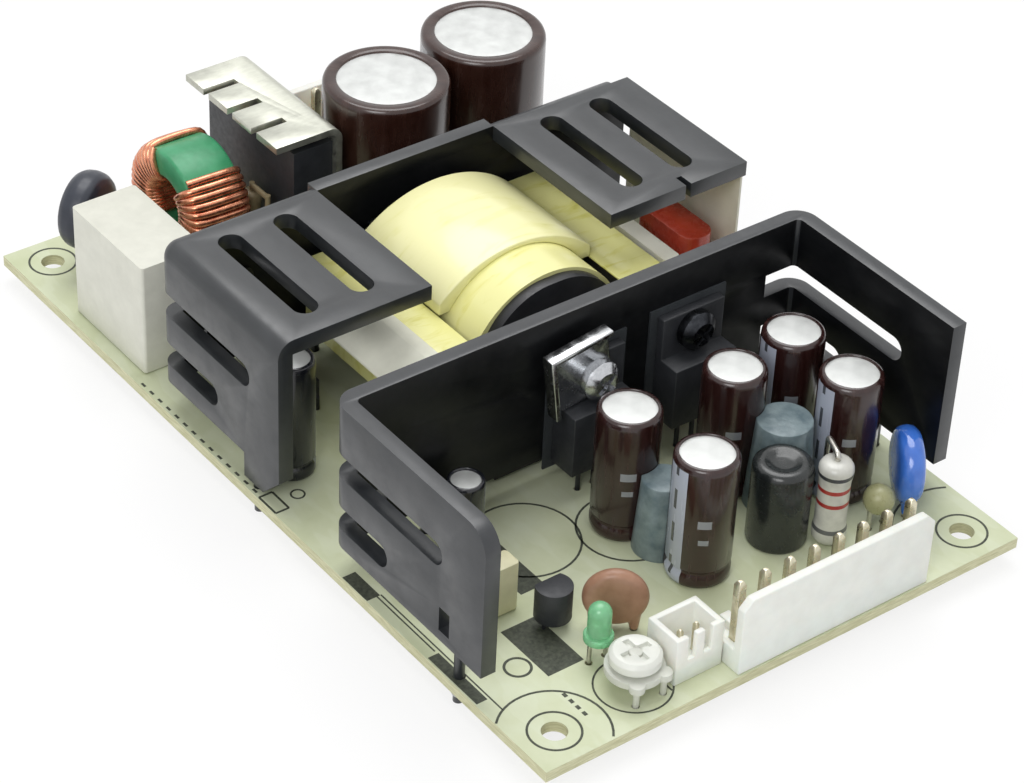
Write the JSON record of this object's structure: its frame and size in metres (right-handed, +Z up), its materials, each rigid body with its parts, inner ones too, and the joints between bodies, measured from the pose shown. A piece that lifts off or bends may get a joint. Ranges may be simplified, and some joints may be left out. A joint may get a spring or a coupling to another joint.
{
  "type": "open frame power supply",
  "caption": "Open frame AC to DC power supply: a circuit board with folded black heatsinks, a taped transformer, a filter choke, tall capacitors and pin headers.",
  "frame": {"origin": "middle of the board in plan, on the plane that the cut leads stand on", "axes": "+X runs to the output end, +Y across the board, +Z up through the parts"},
  "size_m": [0.127, 0.0762, 0.0304],
  "materials": {
    "board": "satin solder mask over laminate",
    "solder": "bright solder",
    "black_sink": "satin black anodised",
    "dark_sink": "satin black anodised",
    "plated_bracket": "bare rolled aluminium",
    "package": "moulded epoxy",
    "plated_clip": "bright plated spring steel",
    "pad": "matte silicone pad",
    "screw_steel": "zinc plated",
    "ferrite": "ground ferrite",
    "bobbin": "moulded plastic",
    "inner_tape": "polyester tape",
    "outer_tape": "polyester tape",
    "label": "blank paper label",
    "bulk_sleeve": "shrink sleeve",
    "out_sleeve": "shrink sleeve",
    "drum": "shrink sleeve",
    "bias_sleeve": "shrink sleeve",
    "resistor_coat": "flameproof coating",
    "blue_coat": "dipped epoxy",
    "olive_coat": "dipped epoxy",
    "header_white": "moulded nylon",
    "tinned_pin": "tin plated",
    "trimmer_white": "moulded plastic",
    "dial_white": "moulded plastic",
    "green_lens": "tinted lens",
    "cream_case": "moulded case",
    "tan_coat": "dipped coating",
    "grey_case": "moulded case",
    "slate_coat": "dipped coating",
    "green_core": "coated ferrite",
    "copper_wire": "enamelled copper",
    "tan_body": "coated body",
    "white_case": "moulded case",
    "navy_coat": "dipped coating",
    "red_coat": "dipped coating",
    "film": "insulating film",
    "silicone": "cured silicone"
  },
  "bodies": {
    "supply": {"circuit_board": "board", "solder_joints": "solder", "output_heatsink": "black_sink", "input_heatsink": "dark_sink", "bridge_heatsink": "plated_bracket", "output_rectifier": "package", "second_rectifier": "package", "rectifier_clip": "plated_clip", "device_pads": "pad", "primary_switch_a": "package", "primary_switch_b": "package", "heatsink_screws": "screw_steel", "transformer_core_a": "ferrite", "transformer_core_b": "ferrite", "transformer_bobbin": "bobbin", "transformer_winding": "inner_tape", "transformer_tape": "outer_tape", "core_tape": "outer_tape", "transformer_label": "label", "bulk_capacitor_a": "bulk_sleeve", "bulk_capacitor_b": "bulk_sleeve", "output_capacitor_a": "out_sleeve", "output_capacitor_b": "out_sleeve", "output_capacitor_c": "out_sleeve", "output_capacitor_d": "out_sleeve", "output_capacitor_e": "out_sleeve", "output_inductor": "drum", "bias_capacitor": "bias_sleeve", "load_resistor": "resistor_coat", "blue_disc_capacitor": "blue_coat", "bead_capacitor": "olive_coat", "output_header": "header_white", "output_pins": "tinned_pin", "fan_header": "header_white", "fan_pins": "tinned_pin", "trimmer_body": "trimmer_white", "status_led": "green_lens", "small_film_capacitor": "cream_case", "regulator": "package", "tan_disc_capacitor": "tan_coat", "interference_capacitor": "grey_case", "inrush_thermistor": "slate_coat", "choke_core": "green_core", "choke_windings": "copper_wire", "choke_base": "bobbin", "bridge_rectifier": "package", "input_fuse": "tan_body", "input_header": "header_white", "input_pins": "tinned_pin", "box_capacitor": "white_case", "small_disc_capacitor": "navy_coat", "red_film_capacitor": "red_coat", "insulation_film": "film", "optocoupler": "white_case", "control_ic": "package", "startup_capacitor": "bias_sleeve", "glue_fillets": "silicone"},
    "dial": {"trimmer_dial": "dial_white"}
  },
  "joints": [
    {"name": "trimmer_turn", "type": "hinge", "parent": "supply", "child": "dial", "pos_m": [0.0574, -0.0203, 0.0077], "axis": [0, 0, 1], "range_deg": [-117, 117]}
  ]
}
